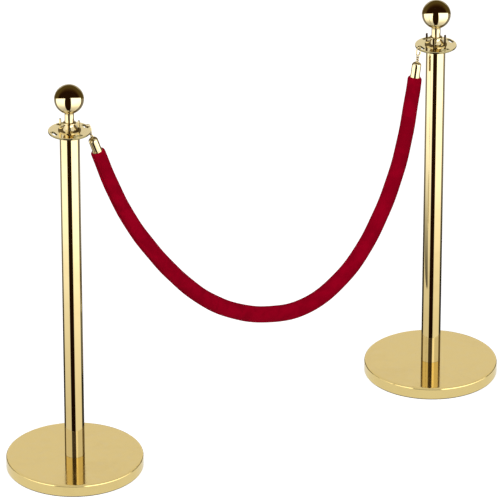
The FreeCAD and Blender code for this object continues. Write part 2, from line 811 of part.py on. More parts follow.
for word, side, yaw, tilt in SIDES:
    post_x = side * D["post_spacing"] / 2
    keep(base_weight(word + "_base_weight"), at(x=post_x))
    keep(base_cover(word + "_base_cover"), at(x=post_x))
    keep(base_ring(word + "_base_ring"), at(x=post_x))
    head_z = counterbore_top - D["washer_thickness"] - D["bolt_head_height"]
    keep(base_washer(word + "_base_washer"), at(x=post_x, z=counterbore_top - D["washer_thickness"]))
    keep(base_bolt(word + "_base_bolt"), at(x=post_x, z=head_z))
    keep(tube_plug(word + "_lower_plug"), at(x=post_x, z=weight_top))
    keep(post_tube(word + "_tube"), at(x=post_x, z=weight_top))
    keep(tube_plug(word + "_upper_plug"), at(x=post_x, z=plate_bottom - D["plug_length"]))
    keep(hook_plate(word + "_hook_plate"), at(x=post_x, z=plate_bottom))
    keep(finial_bell(word + "_finial_bell"), at(x=post_x, z=plate_top, yaw=Size(45)))
    keep(ball(word + "_ball"), at(x=post_x, z=ball_middle))
    keep(finial_stud(word + "_finial_stud"), at(x=post_x, z=plate_bottom - stud_in_plug))

    chain_x = side * (D["post_spacing"] / 2 - rim_bar)
    hang = at(x=chain_x, z=plate_middle, yaw=yaw, pitch=-tilt)
    for name, make in (
        ("snap_hook", snap_hook),
        ("hook_gate", hook_gate),
        ("gate_spring", gate_spring),
        ("cap_eye", cap_eye_bolt),
        ("rope_cap", rope_cap),
        ("eye_nut", eye_nut),
    ):
        keep(make("%s_%s" % (word, name)), hang)
    for name, make in (("gate_pin", gate_pin), ("link_ring", link_ring), ("cap_pin", cap_pin)):
        piece = make("%s_%s" % (word, name))
        own = piece.ExpressionEngine
        local = [text for prop, text in own if prop == "Placement"][0]
        keep(piece, "%s * %s" % (hang, local))

for piece in velvet_rope():
    keep(piece)

doc.recompute()


# ---------------------------------------------------------------------------------------------------
# Check everything, then write one file for each node
# ---------------------------------------------------------------------------------------------------
faults = [obj.Name for obj in doc.Objects if "Invalid" in obj.State or "Error" in obj.State]
for obj in nodes:
    if obj.Shape.isNull() or not obj.Shape.isValid() or obj.Shape.Volume <= 0:
        faults.append(obj.Name + " (shape)")
if faults:
    raise RuntimeError("these failed: %s" % faults)

eyes = [cap_point(side, tilt, hook_eye_bar) for _, side, _, tilt in SIDES]
print("swing axis through", [(round(eye.x, 2), round(eye.z, 2)) for eye in eyes])
for _, side, _, tilt in SIDES:
    lean = math.radians(tilt.value)
    inward = D["post_spacing"].value / 2 - rim_bar.value
    hinge_x = side.value * (
        inward + gate_hinge_z.value * math.sin(lean) - gate_hinge_x.value * math.cos(lean)
    )
    hinge_z = plate_middle.value + gate_hinge_z.value * math.cos(lean)
    hinge_z += gate_hinge_x.value * math.sin(lean)
    print("gate axis at (%.3f, 0, %.3f)" % (hinge_x, hinge_z))
print("hook plates from %.2f to %.2f mm" % (plate_bottom.value, plate_top.value))

os.makedirs("parts", exist_ok=True)
for obj in nodes:
    obj.Shape.exportStep("parts/%s.step" % obj.Label)
print("wrote %d nodes" % len(nodes))
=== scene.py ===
# %% [markdown]
# # Rope stanchion set: two ball-top posts and a velvet rope
#
# This lesson dresses a finished mechanical model. The posts, hooks, caps and pins come in as a fixed frame
# and stay exactly where they are. What is added here is what a workshop adds last: the velvet cover of the
# rope, the polish on the brass, the dull finishes of the hidden pieces, and a small white studio to see
# them in.
#
# Everything is in metres, with Z up. The origin lies on the floor, midway between the posts.

# %% Load the frame
import math

import bpy
import numpy as np
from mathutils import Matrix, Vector


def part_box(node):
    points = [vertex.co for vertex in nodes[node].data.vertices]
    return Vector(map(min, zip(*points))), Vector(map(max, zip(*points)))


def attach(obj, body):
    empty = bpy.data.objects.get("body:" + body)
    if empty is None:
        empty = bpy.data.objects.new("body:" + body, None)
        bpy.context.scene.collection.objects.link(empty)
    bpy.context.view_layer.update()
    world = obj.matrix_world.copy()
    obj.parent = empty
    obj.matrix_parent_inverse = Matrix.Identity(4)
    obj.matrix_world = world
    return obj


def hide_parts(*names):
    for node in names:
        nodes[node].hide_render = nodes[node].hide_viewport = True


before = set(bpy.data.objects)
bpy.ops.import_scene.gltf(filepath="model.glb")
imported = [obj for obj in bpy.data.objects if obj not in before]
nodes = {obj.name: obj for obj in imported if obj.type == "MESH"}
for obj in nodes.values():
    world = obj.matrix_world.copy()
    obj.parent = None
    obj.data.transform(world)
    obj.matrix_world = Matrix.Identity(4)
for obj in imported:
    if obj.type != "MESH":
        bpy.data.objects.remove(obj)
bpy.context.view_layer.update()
scene = bpy.context.scene

# %% [markdown]
# ## Places that the frame gives
#
# Each post turns about its own upright line. The tubes' boxes say where that line is and how high the brass
# goes, so no place has to be typed twice.

# %% Read the posts' axes
MM = 0.001
tube_low, tube_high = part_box("right_tube")
post_x = (tube_low.x + tube_high.x) / 2
post_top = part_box("right_ball")[1].z
base_radius = (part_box("right_base_cover")[1].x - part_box("right_base_cover")[0].x) / 2
print(f"posts at x = +-{post_x:.3f}, {post_top:.3f} high, bases {2 * base_radius:.3f} across")

# %% [markdown]
# ## The camera
#
# Tall, slim goods are best seen from far away through a long lens, so that upright lines stay upright. The
# camera stands to the left of the set, looks down on it and leaves the near base a little larger than the
# far one. Its place is worked out from an azimuth, an elevation and a distance, which are easier to adjust
# by eye than three coordinates.

# %% Set up the camera
AZIMUTH = math.radians(-30.22)
ELEVATION = math.radians(25.51)
CAMERA_DISTANCE = 12.0
LENS = 370.0
LOOK_AT = Vector((-0.0163, 0, 0.4412))

to_camera_flat = Vector((math.sin(AZIMUTH), -math.cos(AZIMUTH), 0))
to_camera = to_camera_flat * math.cos(ELEVATION) + Vector((0, 0, math.sin(ELEVATION)))
camera_right = Vector((math.cos(AZIMUTH), math.sin(AZIMUTH), 0))
camera_up = to_camera.cross(camera_right)

camera_data = bpy.data.cameras.new("camera")
camera_data.lens = LENS
camera_data.sensor_width = 36
camera_data.clip_end = 100
camera = bpy.data.objects.new("camera", camera_data)
scene.collection.objects.link(camera)
camera.location = LOOK_AT + to_camera * CAMERA_DISTANCE
camera.rotation_mode = "QUATERNION"
camera.rotation_quaternion = (-to_camera).to_track_quat("-Z", "Y")
scene.camera = camera
scene.view_settings.view_transform = "Standard"
print("camera at", [round(x, 3) for x in camera.location])

# %% [markdown]
# ## The rope's line
#
# The rope is a soft, fairly heavy tube of velvet over foam. It leaves one cap, hangs in a long uneven curve
# that is lowest a little nearer the right post, and goes into the other cap. The line is a list of given
# points smoothed by one NURBS curve. The points pull the curve towards them without lying on it, which is
# how a
# soft rope behaves: it never turns sharply.
#
# The order is set after the points, because a new spline has too few points for it.

# %% Lay the rope's line
ROUTE = [
    (-0.41765, 0.78766), (-0.39508, 0.72564),
    (-0.359, 0.636), (-0.307, 0.543), (-0.243, 0.454), (-0.166, 0.366), (-0.077, 0.299), (0.018, 0.262),
    (0.112, 0.250), (0.195, 0.277), (0.263, 0.330), (0.314, 0.396), (0.353, 0.470), (0.388, 0.556),
    (0.409, 0.644),
    (0.42246, 0.71881), (0.43165, 0.78417),
]


def smooth_line(name, points):
    """The points of one NURBS curve led by x and z points, in the upright plane through both posts."""
    curve = bpy.data.curves.new(name, "CURVE")
    curve.dimensions = "3D"
    curve.resolution_u = 24
    spline = curve.splines.new("NURBS")
    spline.points.add(len(points) - 1)
    for point, (x, z) in zip(spline.points, points):
        point.co = (x, 0, z, 1)
    spline.order_u = 3
    spline.use_endpoint_u = True
    holder = bpy.data.objects.new(name, curve)
    mesh = bpy.data.meshes.new_from_object(holder)
    line = np.array([v.co for v in mesh.vertices], float)
    bpy.data.meshes.remove(mesh)
    bpy.data.objects.remove(holder)
    bpy.data.curves.remove(curve)
    return line


rope_line = smooth_line("rope_line", ROUTE)
steps = np.linalg.norm(np.diff(rope_line, axis=0), axis=1)
rope_along = np.concatenate([[0], np.cumsum(steps)])
rope_length = float(rope_along[-1])
print(f"rope line: {len(rope_line)} points, {rope_length:.3f} m, lowest at z = {rope_line[:, 2].min():.3f}")

# %% [markdown]
# ## The velvet cover
#
# The real cover is one strip of velvet, sewn into a tube along its length, pulled over the foam core and
# gathered where a brass cap grips it. It could be a bevelled curve, but a bevel is the same all the way
# along. A mesh of rings lets each ring have its own size and its own dents: a full, slightly uneven body,
# shoulders that come in sharply at the caps, short gathers beside them and a sunken seam along the
# underside.
#
# Each ring is a list of angles round the rope. Angle zero points to the inside of the hanging curve, which
# is up at the lowest place.
#
# The cover is hidden from gloss rays, so that no red line runs down the golden tubes beside it. A real
# studio does the same with a strip of white card held between the rope and the post.

# %% Sizes of the cover
ROPE_DIAMETER = 37 * MM
ROPE_RADIUS_AT_CAPS = 16.8 * MM
ROPE_RADIUS_IN_MIDDLE = 19.6 * MM
ROPE_FULLNESS = 0.8  # 1 swells like a sine, less stays full for longer
NECK_RADIUS = 9.4 * MM
NECK_DEPTH = 5 * MM
SHOULDER = 5 * MM
RING_POINTS = 72
RING_STEP = 4 * MM
GATHER_COUNT = 15
GATHER_DEPTH = 0.75 * MM
GATHER_LENGTH = 34 * MM
SEAM_ANGLE = math.radians(205)
SEAM_WIDTH = math.radians(5)
SEAM_DEPTH = 1.0 * MM
CRUSH = 0.45 * MM
CRUSH_WAVES = (41, 67)  # radians in a metre of rope
PROBE = 0.4 * MM
END_MARGIN = 0.5 * MM

angles = np.linspace(0, 2 * math.pi, RING_POINTS, endpoint=False)


def body_radius(along):
    """The cover's radius at a distance from the left cap: fuller in the middle, where the foam is slack."""
    share = np.sin(math.pi * np.clip(along / rope_length, 0, 1)) ** ROPE_FULLNESS
    return ROPE_RADIUS_AT_CAPS + (ROPE_RADIUS_IN_MIDDLE - ROPE_RADIUS_AT_CAPS) * share


def shoulder(from_end):
    """How full a ring is near an end, from 0 in the cap's mouth to 1 on the body: a quarter of a circle."""
    t = np.clip(from_end / SHOULDER, 0, 1)
    return np.sqrt(1 - (1 - t) ** 2)


def ring_radii(along):
    """The radius at every angle of one ring."""
    from_end = min(along, rope_length - along)
    full = NECK_RADIUS + (body_radius(along) - NECK_RADIUS) * shoulder(from_end)
    fade = math.exp(-max(from_end, 0) / (GATHER_LENGTH / 3)) * shoulder(from_end)
    end_side = 1 if along < rope_length / 2 else -1
    gathers = -GATHER_DEPTH * fade * (0.5 + 0.5 * np.cos(GATHER_COUNT * angles + 0.8 * end_side
                                                          + 0.9 * np.sin(3 * angles + end_side)))
    slow = np.sin(along * CRUSH_WAVES[0] + 2 * np.cos(angles))
    slow = slow + np.sin(along * CRUSH_WAVES[1] + 1.3 + 3 * np.sin(angles))
    crush = 0.5 * CRUSH * slow * (1 - fade)
    away = (angles - SEAM_ANGLE + math.pi) % (2 * math.pi) - math.pi
    seam = -SEAM_DEPTH * np.exp(-((away / SEAM_WIDTH) ** 2)) * shoulder(from_end)
    return full + gathers + crush + seam


print(f"cover: {2 * body_radius(0) / MM:.1f} mm across at the caps,",
      f"{2 * body_radius(rope_length / 2) / MM:.1f} in the middle")

# %% Build the rings of the cover
def stations(length):
    """Distances along the rope at which a ring is made: close together on the shoulders, even between."""
    end = np.array([-NECK_DEPTH, -0.5 * NECK_DEPTH, 0, 0.04 * SHOULDER, 0.15 * SHOULDER, 0.33 * SHOULDER,
                    0.6 * SHOULDER, SHOULDER, 1.4 * SHOULDER])
    inner = np.linspace(2 * SHOULDER, length - 2 * SHOULDER, round((length - 4 * SHOULDER) / RING_STEP))
    return np.concatenate([end, inner, (length - end)[::-1]])


def place_on(line, along_line, distance):
    """The point and the direction of a line at a distance along it, carried straight on past both ends."""
    inside = min(max(distance, END_MARGIN), along_line[-1] - END_MARGIN)
    before, after = (np.array([np.interp(d, along_line, line[:, k]) for k in range(3)])
                     for d in (inside - PROBE, inside + PROBE))
    forward = (after - before) / np.linalg.norm(after - before)
    return (before + after) / 2 + forward * (distance - inside), forward


def rings_to_mesh(name, rings):
    """One closed mesh through rings of points, with a point in the middle of each end."""
    count, around = len(rings), len(rings[0])
    points = [tuple(p) for ring in rings for p in ring]
    points += [tuple(np.mean(rings[0], axis=0)), tuple(np.mean(rings[-1], axis=0))]
    faces = []
    for i in range(count - 1):
        for j in range(around):
            k = (j + 1) % around
            faces.append((i * around + j, i * around + k, (i + 1) * around + k, (i + 1) * around + j))
    last = (count - 1) * around
    for j in range(around):
        k = (j + 1) % around
        faces.append((count * around, k, j))
        faces.append((count * around + 1, last + j, last + k))
    mesh = bpy.data.meshes.new(name)
    mesh.from_pydata(points, [], faces)
    mesh.update()
    mesh.shade_smooth()
    piece = bpy.data.objects.new(name, mesh)
    scene.collection.objects.link(piece)
    return piece


across = np.array([0, 1, 0])
cover_rings, cover_along = [], []
for distance in stations(rope_length):
    middle, forward = place_on(rope_line, rope_along, distance)
    inward = np.array([-forward[2], 0, forward[0]])
    radii = ring_radii(distance)
    ring = [middle + r * (math.cos(a) * inward + math.sin(a) * across) for a, r in zip(angles, radii)]
    cover_rings.append(ring)
    cover_along.append(distance)

velvet_cover = rings_to_mesh("velvet_cover", cover_rings)
grain_along = velvet_cover.data.attributes.new("rope_distance", "FLOAT", "POINT")
grain_along.data.foreach_set("value", [d for d in cover_along for _ in angles] + [0, rope_length])
grain_round = velvet_cover.data.attributes.new("rope_turn", "FLOAT", "POINT")
grain_round.data.foreach_set("value", [a / (2 * math.pi) for _ in cover_along for a in angles] + [0, 0])

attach(velvet_cover, "rope")
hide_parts("velvet_sleeve", "rope_core")
velvet_cover.visible_glossy = False
print("velvet cover:", len(velvet_cover.data.polygons), "faces")

# %% [markdown]
# ## How finishes are made here
#
# A finish is a Principled BSDF whose plain numbers, such as how metallic it is, sit on its own sockets.
# What changes over the surface comes from small node groups, one for each effect, so that the same effect
# can be placed in several finishes with other values. A few helpers keep the node code short.

# %% Helpers for nodes
def feed(tree, socket, value):
    """Links another node's output to an input socket, or sets a plain value on it."""
    if isinstance(value, bpy.types.NodeSocket):
        tree.links.new(value, socket)
    else:
        socket.default_value = value


def node(tree, kind, values=None, **settings):
    """Adds a node, sets its properties by name and its input sockets by name or number."""
    made = tree.nodes.new(kind)
    for key, value in settings.items():
        setattr(made, key, value)
    for key, value in (values or {}).items():
        feed(tree, made.inputs[key], value)
    return made


def math_node(tree, operation, *inputs):
    """One Math node; returns its output."""
    return node(tree, "ShaderNodeMath", dict(enumerate(inputs)), operation=operation).outputs[0]


def mix_colour(tree, share, first, second, blend="MIX"):
    """Two colours mixed by a share; returns the mixed colour."""
    made = node(tree, "ShaderNodeMix", {0: share, 6: first, 7: second}, data_type="RGBA", blend_type=blend)
    return made.outputs[2]


def ramp(tree, value, low, high, to_low=0.0, to_high=1.0, smooth=True):
    """A value carried from one range to another and kept inside it."""
    kind = "SMOOTHSTEP" if smooth else "LINEAR"
    made = node(tree, "ShaderNodeMapRange", {"Value": value, "From Min": low, "From Max": high,
                                             "To Min": to_low, "To Max": to_high},
                interpolation_type=kind, clamp=True)
    return made.outputs["Result"]


def new_group(name, inputs, outputs):
    """An empty node group with named sockets: inputs are name: (kind, default), outputs are name: kind."""
    group = bpy.data.node_groups.new(name, "ShaderNodeTree")
    for label, (kind, default) in inputs.items():
        socket = group.interface.new_socket(name=label, in_out="INPUT", socket_type="NodeSocket" + kind)
        socket.default_value = default
    for label, kind in outputs.items():
        group.interface.new_socket(name=label, in_out="OUTPUT", socket_type="NodeSocket" + kind)
    start, end = group.nodes.new("NodeGroupInput"), group.nodes.new("NodeGroupOutput")
    return group, start.outputs, end.inputs


def place_group(tree, group, **values):
    """The group in a material, with its inputs set; returns its outputs. Underscores stand for spaces."""
    made = node(tree, "ShaderNodeGroup", node_tree=group)
    for key, value in values.items():
        feed(tree, made.inputs[key.replace("_", " ")], value)
    return made.outputs


def colour(r, g, b):
    return (r, g, b, 1.0)


print("node helpers ready")

# %% [markdown]
# ## Turning lines
#
# Everything on the posts is round, and is polished while it spins. The wheel leaves lines finer than a hair
# that run round the piece. A noise that is read by radius and height, and not by place, is the same all the
# way round the post, which is just what such a line is. Both posts share the effect, because the sideways
# place is folded over the middle of the set before the radius is taken.

# %% Group: turning lines
def make_turning_lines():
    group, given, out = new_group(
        "turning_lines",
        {"Post Place": ("Float", 0.488), "Lines Per Metre": ("Float", 900.0), "Strength": ("Float", 1.0)},
        {"Height": "Float", "Shade": "Float"})
    place = node(group, "ShaderNodeTexCoord").outputs["Object"]
    split = node(group, "ShaderNodeSeparateXYZ", {0: place}).outputs
    sideways = math_node(group, "SUBTRACT", math_node(group, "ABSOLUTE", split[0]), given["Post Place"])
    squares = math_node(group, "ADD", math_node(group, "MULTIPLY", sideways, sideways),
                        math_node(group, "MULTIPLY", split[1], split[1]))
    radius = math_node(group, "SQRT", squares)
    lathe = node(group, "ShaderNodeCombineXYZ", {0: radius, 1: split[2], 2: 0.0}).outputs[0]
    fine = node(group, "ShaderNodeTexNoise", {"Vector": lathe, "Scale": given["Lines Per Metre"],
                                              "Detail": 3.0, "Roughness": 0.6})
    slow_scale = math_node(group, "MULTIPLY", given["Lines Per Metre"], 0.07)
    slow = node(group, "ShaderNodeTexNoise", {"Vector": lathe, "Scale": slow_scale, "Detail": 1.0})
    centred = math_node(group, "SUBTRACT", fine.outputs["Fac"], 0.5)
    group.links.new(math_node(group, "MULTIPLY", centred, given["Strength"]), out["Height"])
    group.links.new(slow.outputs["Fac"], out["Shade"])
    return group


TURNING_LINES = make_turning_lines()
print("group:", TURNING_LINES.name)

# %% [markdown]
# ## Hand marks
#
# Polished brass is never equally bright. Hands and cloths leave wide, soft patches that are a little
# duller, and thin lacquer turns a little deeper in them. The effect gives a roughness between two limits
# and a mask that a finish may use to shift its colour.

# %% Group: hand marks
def make_hand_marks():
    group, given, out = new_group(
        "hand_marks",
        {"Size": ("Float", 9.0), "Clean": ("Float", 0.03), "Marked": ("Float", 0.12),
         "Amount": ("Float", 0.5)},
        {"Roughness": "Float", "Marks": "Float"})
    place = node(group, "ShaderNodeTexCoord").outputs["Object"]
    wide = node(group, "ShaderNodeTexNoise", {"Vector": place, "Scale": given["Size"], "Detail": 4.0,
                                              "Roughness": 0.55, "Distortion": 0.6})
    streaks = node(group, "ShaderNodeTexNoise", {"Vector": place, "Detail": 3.0, "Roughness": 0.7,
                                                 "Scale": math_node(group, "MULTIPLY", given["Size"], 6.0)})
    both = math_node(group, "ADD", math_node(group, "MULTIPLY", wide.outputs["Fac"], 0.75),
                     math_node(group, "MULTIPLY", streaks.outputs["Fac"], 0.25))
    marks = math_node(group, "MULTIPLY", ramp(group, both, 0.46, 0.66), given["Amount"])
    group.links.new(marks, out["Marks"])
    roughness = ramp(group, marks, 0.0, 1.0, given["Clean"], given["Marked"], smooth=False)
    group.links.new(roughness, out["Roughness"])
    return group


HAND_MARKS = make_hand_marks()
print("group:", HAND_MARKS.name)

# %% [markdown]
# ## Resting dust
#
# A little dust lies where a surface faces up. The effect reads how far the surface faces up, breaks the
# edge of the dust with a noise, and gives a mask. It is kept very faint, because these posts are dusted
# every day.

# %% Group: resting dust
def make_resting_dust():
    group, given, out = new_group("resting_dust", {"Amount": ("Float", 0.2), "Size": ("Float", 60.0)},
                                  {"Dust": "Float"})
    normal = node(group, "ShaderNodeNewGeometry").outputs["Normal"]
    facing = node(group, "ShaderNodeSeparateXYZ", {0: normal})
    place = node(group, "ShaderNodeTexCoord").outputs["Object"]
    specks = node(group, "ShaderNodeTexNoise", {"Vector": place, "Scale": given["Size"], "Detail": 6.0,
                                                "Roughness": 0.7})
    up = ramp(group, facing.outputs[2], 0.6, 1.0)
    broken = math_node(group, "MULTIPLY", up, ramp(group, specks.outputs["Fac"], 0.42, 0.75))
    group.links.new(math_node(group, "MULTIPLY", broken, given["Amount"]), out["Dust"])
    return group


RESTING_DUST = make_resting_dust()
print("group:", RESTING_DUST.name)

# %% [markdown]
# ## Painted shade on the sides
#
# The rim of a hook plate and the sides of its slots are painted dark brown, a painted shade, while the
# level top stays bright. The effect is a mask of what faces sideways.

# %% Group: painted shade on the sides
def make_shaded_sides():
    group, given, out = new_group("painted_shade_sides", {"Amount": ("Float", 0.0)}, {"Side Shade": "Float"})
    normal = node(group, "ShaderNodeNewGeometry").outputs["Normal"]
    facing = node(group, "ShaderNodeSeparateXYZ", {0: normal})
    # Faces that point sideways get the mask, which the finish uses for a painted shade.
    sideways = ramp(group, math_node(group, "ABSOLUTE", facing.outputs[2]), 0.35, 0.85, 1.0, 0.0)
    group.links.new(math_node(group, "MULTIPLY", sideways, given["Amount"]), out["Side Shade"])
    return group


SHADED_SIDES = make_shaded_sides()
print("group:", SHADED_SIDES.name)

# %% [markdown]
# ## Depth of the gold
#
# The tubes are a little deeper in colour lower down. The effect mixes two colours by height and loosens the
# change with a wide noise.

# %% Group: gold by height
def make_gold_by_height():
    group, given, out = new_group(
        "gold_by_height",
        {"Low Colour": ("Color", colour(0.8, 0.6, 0.25)), "High Colour": ("Color", colour(0.9, 0.78, 0.48)),
         "Bottom": ("Float", 0.0), "Top": ("Float", 0.9)},
        {"Color": "Color"})
    place = node(group, "ShaderNodeTexCoord").outputs["Object"]
    height = node(group, "ShaderNodeSeparateXYZ", {0: place}).outputs[2]
    loose = node(group, "ShaderNodeTexNoise", {"Vector": place, "Scale": 4.0, "Detail": 2.0}).outputs["Fac"]
    shift = math_node(group, "MULTIPLY", math_node(group, "SUBTRACT", loose, 0.5), 0.12)
    moved = math_node(group, "ADD", height, shift)
    share = ramp(group, moved, given["Bottom"], given["Top"])
    group.links.new(mix_colour(group, share, given["Low Colour"], given["High Colour"]), out["Color"])
    return group


GOLD_BY_HEIGHT = make_gold_by_height()
print("group:", GOLD_BY_HEIGHT.name)

# %% [markdown]
# ## Cast grain
#
# Sand-cast iron, moulded rubber and foam share a skin of small bumps and pits. One effect serves all three
# with other sizes: it mixes a fine noise with the cells of a Voronoi pattern and gives a height and a mask.

# %% Group: cast grain
def make_cast_grain():
    group, given, out = new_group("cast_grain", {"Size": ("Float", 400.0), "Pits": ("Float", 0.5)},
                                  {"Height": "Float", "Mask": "Float"})
    place = node(group, "ShaderNodeTexCoord").outputs["Object"]
    fine = node(group, "ShaderNodeTexNoise", {"Vector": place, "Scale": given["Size"], "Detail": 5.0,
                                              "Roughness": 0.65})
    cells = node(group, "ShaderNodeTexVoronoi", {"Vector": place, "Scale": given["Size"]})
    hollow = ramp(group, cells.outputs["Distance"], 0.0, 0.5, 1.0, 0.0)
    pits = math_node(group, "MULTIPLY", hollow, given["Pits"])
    height = math_node(group, "SUBTRACT", fine.outputs["Fac"], pits)
    group.links.new(height, out["Height"])
    group.links.new(ramp(group, height, 0.0, 0.8), out["Mask"])
    return group


CAST_GRAIN = make_cast_grain()
print("group:", CAST_GRAIN.name)

# %% [markdown]
# ## Velvet
#
# Velvet is a dense pile of short, upright threads. Where the pile is stroked flat it is darker and where it
# stands up it is richer, in soft patches as wide as a finger. Along the fold of the seam the pile parts and
# shows a dark line. The pattern is read by distance along the rope and angle round it, both stored on the
# cover's points, so the threads follow the rope through every bend.

# %% Group: velvet pile
def make_velvet_pile():
    group, given, out = new_group(
        "velvet_pile",
        {"Stroked Colour": ("Color", colour(0.2, 0.0, 0.01)),
         "Raised Colour": ("Color", colour(0.4, 0.0, 0.02)),
         "Patches": ("Float", 26.0), "Threads Per Metre": ("Float", 1300.0), "Around": ("Float", 0.116),
         "Seam Turn": ("Float", 0.57), "Seam Width": ("Float", 0.012)},
        {"Color": "Color", "Height": "Float", "Roughness": "Float"})
    along = node(group, "ShaderNodeAttribute", attribute_name="rope_distance").outputs["Fac"]
    turn = node(group, "ShaderNodeAttribute", attribute_name="rope_turn").outputs["Fac"]
    place = node(group, "ShaderNodeTexCoord").outputs["Object"]

    # The angle is wound onto a circle, so that the pattern closes without a step.
    radians = math_node(group, "MULTIPLY", turn, 2 * math.pi)
    radius = math_node(group, "DIVIDE", given["Around"], 2 * math.pi)
    wound = node(group, "ShaderNodeCombineXYZ", {
        0: math_node(group, "MULTIPLY", math_node(group, "COSINE", radians), radius),
        1: math_node(group, "MULTIPLY", math_node(group, "SINE", radians), radius),
        2: along}).outputs[0]

    patches = node(group, "ShaderNodeTexNoise", {"Vector": wound, "Scale": given["Patches"], "Detail": 3.0,
                                                 "Roughness": 0.55, "Distortion": 0.8}).outputs["Fac"]
    threads = node(group, "ShaderNodeTexNoise", {"Vector": wound, "Scale": given["Threads Per Metre"],
                                                 "Detail": 2.0, "Roughness": 0.6}).outputs["Fac"]
    specks = node(group, "ShaderNodeTexVoronoi", {"Vector": place, "Scale": given["Threads Per Metre"]})
    stroked = ramp(group, patches, 0.36, 0.64)
    base = mix_colour(group, stroked, given["Stroked Colour"], given["Raised Colour"])
    speckled = mix_colour(group, math_node(group, "MULTIPLY", ramp(group, threads, 0.35, 0.7), 0.22),
                          base, given["Raised Colour"])

    away = math_node(group, "ABSOLUTE", math_node(group, "SUBTRACT", turn, given["Seam Turn"]))
    seam = ramp(group, away, 0.0, given["Seam Width"], 1.0, 0.0)
    seamed = mix_colour(group, math_node(group, "MULTIPLY", seam, 0.65), speckled, given["Stroked Colour"],
                        "MULTIPLY")
    group.links.new(seamed, out["Color"])

    pile = math_node(group, "ADD", math_node(group, "MULTIPLY", threads, 0.7),
                     math_node(group, "MULTIPLY", specks.outputs["Distance"], 0.3))
    group.links.new(math_node(group, "ADD", pile, math_node(group, "MULTIPLY", patches, 0.6)), out["Height"])
    group.links.new(ramp(group, patches, 0.3, 0.7, 0.95, 0.78, smooth=False), out["Roughness"])
    return group


VELVET_PILE = make_velvet_pile()
print("group:", VELVET_PILE.name)

# %% Start a finish
def new_finish(name, **plain):
    """A material with one Principled BSDF. Plain numbers go on its own sockets, underscores for spaces."""
    material = bpy.data.materials.new(name)
    material.use_nodes = True
    tree = material.node_tree
    shader = next(n for n in tree.nodes if n.type == "BSDF_PRINCIPLED")
    for key, value in plain.items():
        shader.inputs[key.replace("_", " ")].default_value = value
    return material, tree, shader


def bump_into(tree, shader, height, strength, distance):
    """A Bump node between a height and the shader's normal."""
    made = node(tree, "ShaderNodeBump", {"Height": height, "Strength": strength, "Distance": distance})
    tree.links.new(made.outputs["Normal"], shader.inputs["Normal"])


def velvet_finish():
    material, tree, shader = new_finish(
        "red_velvet", Metallic=0.0, Specular_IOR_Level=0.02, Sheen_Weight=0.03, Sheen_Roughness=0.4,
        Sheen_Tint=colour(0.85, 0.0, 0.04))
    pile = place_group(tree, VELVET_PILE, Stroked_Colour=colour(0.262, 0.0, 0.0105),
                       Raised_Colour=colour(0.335, 0.0, 0.0135), Seam_Turn=SEAM_ANGLE / (2 * math.pi),
                       Seam_Width=SEAM_WIDTH / (2 * math.pi), Around=math.pi * ROPE_DIAMETER)
    tree.links.new(pile["Color"], shader.inputs["Base Color"])
    tree.links.new(pile["Roughness"], shader.inputs["Roughness"])
    bump_into(tree, shader, pile["Height"], 0.55, 0.8 * MM)
    return material


VELVET = velvet_finish()
velvet_cover.data.materials.append(VELVET)
print("finish:", VELVET.name)

# %% [markdown]
# ## Polished brass
#
# The posts are brass-coloured metal under clear lacquer: a mirror with a golden tint. On a mirror the
# colour on the surface matters less than what it reflects, so the finish itself stays simple. Its roughness
# comes from the hand marks, its colour from the height and a little dust, and its relief from the turning
# lines.
#
# The level pieces, which are the base covers and hook plates, are buffed a little duller than the tubes.
# Gold that is mirrored in gold looks twice as deep, so a level piece is painted paler where another piece
# mirrors it: a painted lighter reflection. A Light Path node tells the two apart.

# %% Finish: polished brass
HANDLED_GOLD = colour(0.62, 0.42, 0.14)
DUST = colour(0.75, 0.70, 0.58)
# The dark brown of the painted shade on sideways faces.
SIDE_SHADE = colour(0.13, 0.115, 0.045)
# The paler gold painted onto level brass where another piece mirrors it: a painted lighter reflection.
PALE_GOLD_FOR_REFLECTIONS = colour(1.0, 0.97, 0.86)
LEVEL_GOLD = {"low": colour(0.89, 0.70, 0.29), "high": colour(0.92, 0.78, 0.42)}


def brass_finish(name, low, high, clean, marked, lines, line_depth, dust, deepen, tarnish=0.0, reflection_paling=0.0):
    """Brass from a low and a high colour, with how strong each kind of wear is on it, how strongly its sides
    get a painted shade and how much paler it is painted where another piece mirrors it.
    """
    material, tree, shader = new_finish(name, Metallic=1.0)
    gold = place_group(tree, GOLD_BY_HEIGHT, Low_Colour=low, High_Colour=high, Bottom=0.05 * post_top,
                       Top=0.8 * post_top)["Color"]
    marks = place_group(tree, HAND_MARKS, Clean=clean, Marked=marked)
    turning = place_group(tree, TURNING_LINES, Post_Place=post_x, Lines_Per_Metre=lines)
    resting = place_group(tree, RESTING_DUST, Amount=dust)["Dust"]
    deeper = mix_colour(tree, math_node(tree, "MULTIPLY", marks["Marks"], deepen), gold, HANDLED_GOLD)
    shaded = mix_colour(tree, ramp(tree, turning["Shade"], 0.35, 0.65, 0.0, 0.10), deeper, low)
    dusty = mix_colour(tree, resting, shaded, DUST)
    # The sideways faces are painted dark brown: a painted shade.
    side_shaded = place_group(tree, SHADED_SIDES, Amount=tarnish)["Side Shade"]
    dusty_and_side_shaded = mix_colour(tree, side_shaded, dusty, SIDE_SHADE)
    # Where another piece mirrors it, the colour is painted paler: a painted lighter reflection.
    mirrored = node(tree, "ShaderNodeLightPath").outputs["Is Glossy Ray"]
    seen = mix_colour(tree, math_node(tree, "MULTIPLY", mirrored, reflection_paling), dusty_and_side_shaded, PALE_GOLD_FOR_REFLECTIONS)
    tree.links.new(seen, shader.inputs["Base Color"])
    tree.links.new(math_node(tree, "ADD", marks["Roughness"], math_node(tree, "MULTIPLY", resting, 0.3)),
                   shader.inputs["Roughness"])
    bump_into(tree, shader, turning["Height"], line_depth, 0.05 * MM)
    return material


